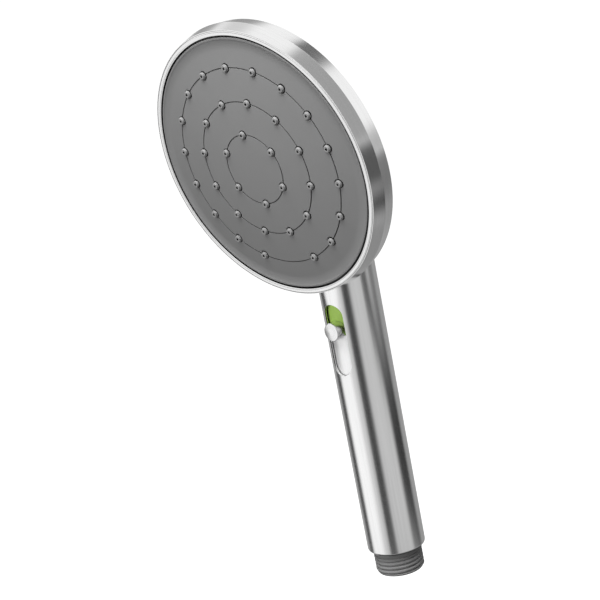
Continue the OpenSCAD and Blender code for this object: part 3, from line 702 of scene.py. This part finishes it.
# ---------------------------------------------------------------- Bright ring
# A flat ring of stainless steel holds the plate in the housing. Its face is
# brushed round, and both of its edges are polished.
bezel_w = 2.3 * mm
bezel_in_r = rim_r - bezel_w
bezel_out_r = rim_r - lip_t - 0.7 * seat_gap
ring_edge = 0.3 * mm
polished_w = 1.5 * ring_edge
brushed_w = 2 * ring_edge
brushed_z = -0.06 * mm
ring_outline = rounded([
    (bezel_in_r, -ring_edge - 0.1 * mm), (bezel_in_r, -bezel_t),
    (bezel_out_r, -bezel_t), (bezel_out_r, 0, ring_edge),
    (bezel_out_r - polished_w, 0, 0.2 * mm), (bezel_out_r - brushed_w, brushed_z, 0.1 * mm),
    (bezel_in_r + brushed_w, brushed_z, 0.1 * mm), (bezel_in_r + polished_w, 0, 0.2 * mm),
    (bezel_in_r, 0, ring_edge),
])
bezel_ring = turned("bright_ring", ring_outline, steps=256)
ring_steel = brushed_steel(
    "ring_steel", lambda tree: lines_round(tree, head_place, 1800, 40), 0.84, 0.15, 0.03, 0.08,
)
# painted shade: the ring's wall round the plate, in the gap beside it, is painted near black for the shade
# there
paint_shade_where(bezel_ring, ring_steel, lambda radius, height: (
    radius < bezel_in_r + hair and height < -ring_edge
), 0.02)
bezel_ring.data.transform(head_place)
finished(bezel_ring, ring_steel)
on_body(bezel_ring, "shower_body", "bright_ring", "bezel_ring")

# ---------------------------------------------------------------- Chamber
# Behind the mat a ribbed plastic cover closes the spray chamber. A ring seal
# lies between them, six screws clamp them, and two seals sit on the spigot.
def painted(material, *nodes):
    """gives the frame's own pieces their material"""
    for name in nodes:
        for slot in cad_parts[name].material_slots:
            slot.material = material


core_plastic = moulded("core_plastic", (0.30, 0.31, 0.33), 0.4, 0.3, 0.05)
seal_rubber = moulded("seal_rubber", (0.035, 0.035, 0.037), 0.45, 0.4, 0.1)
screw_steel = brushed_steel(
    "screw_steel", lambda tree: lines_along(tree, 900, 200), 0.72, 0.28, 0.05, 0.2,
)
painted(core_plastic, "chamber_cover")
painted(seal_rubber, "chamber_gasket", "spigot_o_rings")
painted(screw_steel, "chamber_screws")

# ---------------------------------------------------------------- Handle tube
# A straight stainless tube, brushed lengthwise. The slider's slot is cut in
# its front, and its upper end is cut to the head's back and welded to it.
handle_wall = 1.2 * mm
tube_bore_r = handle_r - handle_wall
lower_round = 1.1 * mm
slot_half_w = 5 * mm
slot_length = 30.9 * mm
slot_top_z = 112.5 * mm
slot_low_z = slot_top_z - slot_length
slot_edge = 0.12 * mm
slot_tool_depth = 5 * mm
slot_tool_out = 4 * mm
weld_gap = 0.02 * mm

tube_outline = rounded([
    (tube_bore_r, tube_low.z), (handle_r, tube_low.z, lower_round),
    (handle_r, tube_high.z), (tube_bore_r, tube_high.z),
], arc_steps=8)
handle_tube = turned("handle_tube_steel", tube_outline, steps=256)


def slot_cutter(name, end_steps=20, side_steps=12):
    """tool for the slot with its round ends, flared where it leaves the tube's face
    so that the slot's edge comes out rounded"""
    outline = []
    high, low = slot_top_z - slot_half_w, slot_low_z + slot_half_w
    for start, centre, other in ((0, high, low), (180, low, high)):
        for i in range(end_steps + 1):
            turn = math.radians(start + 180 * i / end_steps)
            outline.append((math.cos(turn), math.sin(turn), centre))
        side = math.cos(math.radians(start + 180))
        for i in range(1, side_steps):
            outline.append((side, 0.0, centre + (other - centre) * i / side_steps))
    swings = [math.radians(a) for a in (0, 15, 30, 45, 60, 75)]
    rings = [
        (slot_edge * (1 - math.cos(a)), handle_r - slot_edge * (1 - math.sin(a))) for a in swings
    ]
    flare, radius = rings[-1]
    flare += 4 * slot_edge * math.sin(swings[-1])
    rings.append((flare, radius + 4 * slot_edge * math.cos(swings[-1])))
    rings = [(0, handle_r - slot_tool_depth), *rings, (flare, handle_r + slot_tool_out)]
    points = []
    for flare, radius in rings:
        for side, up, centre in outline:
            x = side * (slot_half_w + flare)
            y = -math.sqrt(radius ** 2 - x ** 2)
            points.append((x, y, centre + up * (slot_half_w + flare)))
    count = len(outline)
    faces = [tuple(range(count)), tuple(range((len(rings) - 1) * count, len(rings) * count))]
    for ring in range(len(rings) - 1):
        for i in range(count):
            j = (i + 1) % count
            this, above = ring * count, (ring + 1) * count
            faces.append((this + i, this + j, above + j, above + i))
    return solid(name, points, faces)


def head_room(name, gap):
    """the space that the closed head takes, a gap larger than its steel"""
    return turned(name, [
        (0, 1 * mm), (rim_r + gap, 1 * mm), (ridge_r + gap, -ridge_depth),
        (rim_r + gap, -side_depth - gap * math.tan(back_slope / 2)), *back_line(gap),
    ], head_place)


tube_steel = brushed_steel(
    "tube_steel", lambda tree: lines_along(tree, 1200, 14), 0.92, 0.2, 0.045, 0.2,
)
tree = tube_steel.node_tree
part, _, radius = about_axis(tree, add(tree, "ShaderNodeTexCoord").outputs["Object"])
# painted shade: the outer half of the slot's cut wall is painted dark, except at the left of
# the slot's lower end, and the wall's edge on the bore is painted dark all round
painted_shade = edge(tree, radius, handle_r - 0.1 * slot_edge, handle_r - slot_edge)
painted_shade = maths(tree, "MULTIPLY", painted_shade, edge(
    tree, radius, tube_bore_r + 0.4 * handle_wall, tube_bore_r + 0.6 * handle_wall,
))
above_end = maths(
    tree, "MAXIMUM", edge(tree, part["X"], 0, 0.15 * slot_half_w),
    edge(tree, part["Z"], slot_low_z, slot_low_z + slot_half_w),
)
painted_shade = maths(tree, "MULTIPLY", painted_shade, above_end)
painted_shade = maths(tree, "MAXIMUM", painted_shade, edge(
    tree, radius, tube_bore_r + 0.3 * handle_wall, tube_bore_r + 0.15 * handle_wall,
))
mix_in_painted_shade(tube_steel, painted_shade, 0.02)
finished(handle_tube, tube_steel, cutters=[slot_cutter("slot_tool"), head_room("tube_room", weld_gap)])
on_body(handle_tube, "shower_body", "brushed_tube", "handle_tube")

# ---------------------------------------------------------------- Tube cap
# A turned steel disc, welded and brushed over, closes the tube's upper end
# behind the head.
painted(shell_steel, "tube_end_cap")

# ---------------------------------------------------------------- Water way
# Inside the tube a moulded elbow and the valve's body carry the water up to
# the head. Ring seals close the joints between them.
painted(core_plastic, "neck_elbow", "valve_body")
painted(seal_rubber, "elbow_o_rings", "connector_o_rings")

# ---------------------------------------------------------------- Green strip
# A thin strip of green plastic lies in a recess of the valve's body behind the
# slot. It shows above the knob when the flow is turned down.
strip_green = moulded("strip_green", (0.60, 0.93, 0.18), 0.42, 0.2, 0.03)
painted(strip_green, "indicator_strip")

# ---------------------------------------------------------------- Slider
# A curved shutter of satin steel closes the slot below the knob. Two rivets fix
# it to a plastic arm, which ties the knob to the hollow spool of the valve.
shutter_steel = brushed_steel(
    "shutter_steel", lambda tree: lines_along(tree, 1200, 14), 0.96, 0.34, 0.03, 0.1, metal=0.5,
)
slider_plastic = moulded("slider_plastic", (0.62, 0.62, 0.61), 0.38, 0.2, 0.04)
painted(shutter_steel, "shutter_plate")
painted(screw_steel, "carriage_rivets")
painted(slider_plastic, "slider_carriage", "valve_spool")
painted(seal_rubber, "spool_o_rings")

# ---------------------------------------------------------------- Knob
# A small stainless knob, turned from bar, whose pin is riveted into the shutter.
# Its end is a very low cone with the fine rings that the turning leaves.
knob_low, knob_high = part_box("slider_knob")
knob_r = (knob_high.x - knob_low.x) / 2
knob_z = (knob_high.z + knob_low.z) / 2
knob_end = -knob_low.y
knob_round = 0.5 * mm
crown = 0.6 * mm
run_gap = 0.15 * mm
shutter_r = tube_bore_r - run_gap
knob_foot_r = shutter_r - 0.1 * mm
knob_place = Matrix.Translation((0, 0, knob_z)) @ Matrix.Rotation(math.pi / 2, 4, "X")
knob_outline = rounded([
    (0, shutter_r / 2), (knob_r, shutter_r / 2), (knob_r, knob_end - crown, knob_round),
    (knob_r / 6, knob_end - crown / 6), (0, knob_end - crown / 12),
], arc_steps=8)
slider_knob = turned("knob", knob_outline, knob_place, steps=96)
# the knob's foot follows the shutter's curve
for point in slider_knob.data.vertices:
    if -point.co.y < shutter_r * 0.6:
        point.co.y = -math.sqrt(knob_foot_r ** 2 - point.co.x ** 2)
knob_steel = brushed_steel(
    "knob_steel", lambda tree: lines_round(tree, knob_place, 2500, 60), 0.88, 0.25, 0.06, 0.2,
)
finished(slider_knob, knob_steel)
on_body(slider_knob, "slider", "knob_chrome", "slider_knob")

# ---------------------------------------------------------------- Hose inlet
# The inlet is moulded from grey plastic filled with glass and pushed into the
# tube. Its half-inch pipe thread has rounded ridges and starts a little below it.
inlet_low, inlet_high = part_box("inlet_connector")
core_r = inlet_high.x
thread_r = 10.4775 * mm
thread_root_r = 9.8 * mm
thread_pitch = 1.814 * mm
thread_length = -inlet_low.z
thread_start_z = -1.6 * mm
thread_fade = 1.2 * mm
thread_bevel = 0.9 * mm
inlet_r = 7.2 * mm
inlet_seat_z = 3 * mm
waterway_r = 5 * mm
joint_r = 7.4 * mm
connector_top_z = 19.8 * mm
mouth_edge = 0.4 * mm
stub_steps = 130

stub_line = [
    (thread_root_r, -thread_length * (1 - i / stub_steps)) for i in range(stub_steps + 1)
]
inlet_outline = [
    (waterway_r, inlet_seat_z), (inlet_r, inlet_seat_z), (inlet_r, -thread_length + mouth_edge),
    (inlet_r + mouth_edge, -thread_length), *stub_line, (core_r, 0),
    (core_r, connector_top_z), (joint_r, connector_top_z), (joint_r, inlet_high.z),
    (waterway_r, inlet_high.z),
]
inlet = turned("hose_inlet", inlet_outline, steps=180)


def thread_tree():
    """node tree that raises a helical thread from the stub's plain root"""
    tree, given = pattern_tree("pipe_thread", {
        "Root Radius": "Float", "Crest Radius": "Float", "Pitch": "Float", "End": "Float",
        "Start": "Float", "Fade": "Float", "Bevel": "Float", "Material": "Material",
    })
    part, flat, radius = about_axis(tree, add(tree, "GeometryNodeInputPosition").outputs[0])
    turns = maths(tree, "DIVIDE", maths(tree, "ARCTAN2", part["Y"], part["X"]), 2 * math.pi)
    phase = maths(tree, "SUBTRACT", maths(tree, "DIVIDE", part["Z"], given["Pitch"]), turns)
    # broad round ridges with narrow grooves between them
    wave = maths(tree, "PINGPONG", phase, 0.5)
    crest = add(tree, "ShaderNodeMapRange", {
        "Value": wave, "From Min": -0.04, "From Max": 0.4, "To Min": 0.0, "To Max": 1.0,
    }, interpolation_type="SMOOTHSTEP").outputs[0]
    fade = add(tree, "ShaderNodeMapRange", {
        "Value": part["Z"], "From Min": maths(tree, "SUBTRACT", given["Start"], given["Fade"]),
        "From Max": given["Start"], "To Min": 0.0, "To Max": 1.0,
    }).outputs[0]
    depth = maths(tree, "SUBTRACT", given["Crest Radius"], given["Root Radius"])
    height = maths(tree, "MULTIPLY", maths(tree, "MAXIMUM", crest, fade), depth)
    raised = maths(tree, "ADD", given["Root Radius"], height)
    bevel = maths(tree, "SUBTRACT", maths(tree, "SUBTRACT", part["Z"], given["End"]), given["Bevel"])
    limit = maths(tree, "ADD", given["Crest Radius"], bevel)
    raised = maths(tree, "MINIMUM", raised, maths(tree, "MAXIMUM", limit, given["Root Radius"]))
    grow = maths(tree, "DIVIDE", raised, radius)
    moved = add(tree, "ShaderNodeVectorMath", {0: flat, "Scale": grow}, operation="SCALE").outputs[0]
    level = add(tree, "ShaderNodeCombineXYZ", {2: part["Z"]}).outputs[0]
    moved = add(tree, "ShaderNodeVectorMath", {0: moved, 1: level}, operation="ADD").outputs[0]
    near = add(tree, "FunctionNodeCompare", {
        "A": radius, "B": given["Root Radius"], "Epsilon": hair,
    }, data_type="FLOAT", operation="EQUAL").outputs[0]
    shaped = add(tree, "GeometryNodeSetPosition", {
        "Geometry": given["Geometry"], "Selection": near, "Position": moved,
    }).outputs[0]
    real = add(tree, "GeometryNodeRealizeInstances", {"Geometry": shaped}).outputs[0]
    skin = add(tree, "GeometryNodeSetMaterial", {"Geometry": real, "Material": given["Material"]})
    add(tree, "NodeGroupOutput", {"Geometry": skin.outputs[0]})
    return tree


inlet_grey = moulded("inlet_grey", (0.21, 0.21, 0.21), 0.42, 0.3, 0.04)
patterned(inlet, thread_tree(), {
    "Root Radius": thread_root_r, "Crest Radius": thread_r, "Pitch": thread_pitch,
    "End": -thread_length, "Start": thread_start_z, "Fade": thread_fade, "Bevel": thread_bevel,
    "Material": inlet_grey,
})
finished(inlet, inlet_grey, sharp=50)
on_body(inlet, "shower_body", "thread_grey", "inlet_connector")

# ---------------------------------------------------------------- Inlet parts
# A snap ring locks the inlet in the tube. The regulator with its seal, the
# strainer and a retaining ring are pushed into the recess at its end.
regulator_blue = moulded("regulator_blue", (0.10, 0.22, 0.50), 0.4, 0.2, 0.05)
retainer_grey = moulded("retainer_grey", (0.42, 0.42, 0.42), 0.42, 0.2, 0.04)
strainer_steel = brushed_steel(
    "strainer_steel", lambda tree: lines_along(tree, 900, 900), 0.75, 0.3, 0.06, 0.3,
)
painted(screw_steel, "lock_ring")
painted(regulator_blue, "flow_regulator")
painted(seal_rubber, "regulator_o_ring")
painted(strainer_steel, "inlet_filter")
painted(retainer_grey, "filter_retainer")
